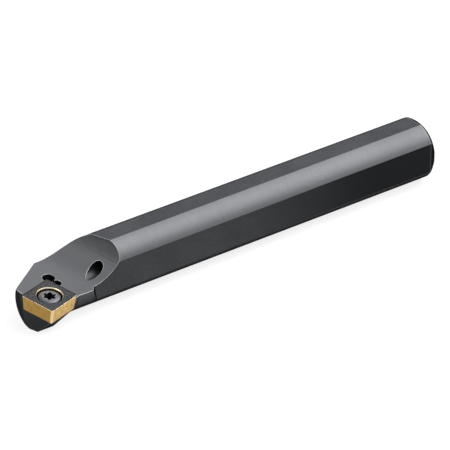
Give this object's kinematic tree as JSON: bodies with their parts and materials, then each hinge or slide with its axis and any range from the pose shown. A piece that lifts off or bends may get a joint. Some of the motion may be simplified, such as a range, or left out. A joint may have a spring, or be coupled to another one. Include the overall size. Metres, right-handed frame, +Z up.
{
  "type": "boring bar",
  "caption": "Steel boring bar with a flatted round shank, a scooped head with a coolant outlet and a square insert held by a screw.",
  "frame": {"origin": "centre of the rear face, on the axis of the shank", "axes": "+X along the bar from the rear face to the head, +Y toward the cutting side, +Z up, with the cutting point at Z = 0"},
  "size_m": [0.125, 0.019, 0.0152],
  "materials": {
    "bar_steel": "dark chemically blackened satin steel",
    "coated_carbide": "gold coated sides and a dark fine-grained rake face",
    "screw_steel": "bright satin steel"
  },
  "bodies": {
    "root": {"bar_body": "bar_steel", "indexable_insert": "coated_carbide", "clamping_screw": "screw_steel"}
  },
  "joints": []
}
